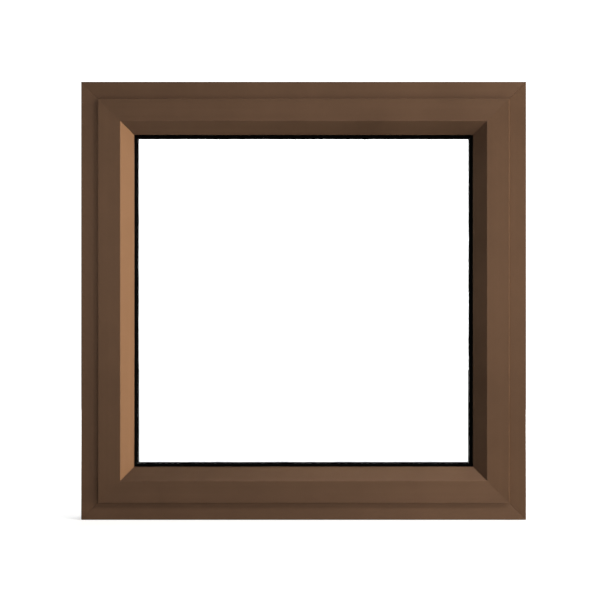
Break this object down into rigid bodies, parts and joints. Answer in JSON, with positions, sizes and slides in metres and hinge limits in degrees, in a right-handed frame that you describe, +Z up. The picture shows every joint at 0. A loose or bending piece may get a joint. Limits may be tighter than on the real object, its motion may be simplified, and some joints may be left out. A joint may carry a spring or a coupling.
{
  "type": "aluminium window",
  "caption": "Square open-out casement window, closed: mitred brown aluminium frame and lapping sash, bevelled round a double-glazed pane.",
  "frame": {"origin": "bottom middle of the frame's outside face, on the sill's underside", "axes": "+X to the right as seen from outside, +Y through the window into the room, +Z up"},
  "size_m": [0.65, 0.114, 0.64],
  "materials": {
    "brown_coat": "satin",
    "polyamide": "matte",
    "rubber": "matte",
    "glass": "gloss",
    "spacer": "satin",
    "sealant": "matte",
    "packer": "satin",
    "handle_coat": "satin"
  },
  "bodies": {
    "root": {"edge_seal": "sealant", "frame_head_inner": "brown_coat", "frame_head_outer": "brown_coat", "frame_head_thermal_break": "polyamide", "frame_left_jamb_inner": "brown_coat", "frame_left_jamb_outer": "brown_coat", "frame_left_jamb_thermal_break": "polyamide", "frame_right_jamb_inner": "brown_coat", "frame_right_jamb_outer": "brown_coat", "frame_right_jamb_thermal_break": "polyamide", "frame_sill_inner": "brown_coat", "frame_sill_outer": "brown_coat", "frame_sill_thermal_break": "polyamide", "glazing_bead_bottom": "brown_coat", "glazing_bead_left": "brown_coat", "glazing_bead_right": "brown_coat", "glazing_bead_top": "brown_coat", "handle_base": "handle_coat", "handle_lever": "handle_coat", "inner_glazing_gasket": "rubber", "inner_pane": "glass", "inner_weather_seal": "rubber", "outer_glazing_gasket": "rubber", "outer_pane": "glass", "outer_weather_seal": "rubber", "sash_bottom_rail_inner": "brown_coat", "sash_bottom_rail_outer": "brown_coat", "sash_bottom_rail_thermal_break": "polyamide", "sash_left_stile_inner": "brown_coat", "sash_left_stile_outer": "brown_coat", "sash_left_stile_thermal_break": "polyamide", "sash_right_stile_inner": "brown_coat", "sash_right_stile_outer": "brown_coat", "sash_right_stile_thermal_break": "polyamide", "sash_top_rail_inner": "brown_coat", "sash_top_rail_outer": "brown_coat", "sash_top_rail_thermal_break": "polyamide", "setting_blocks": "packer", "spacer_bar": "spacer"}
  },
  "joints": []
}
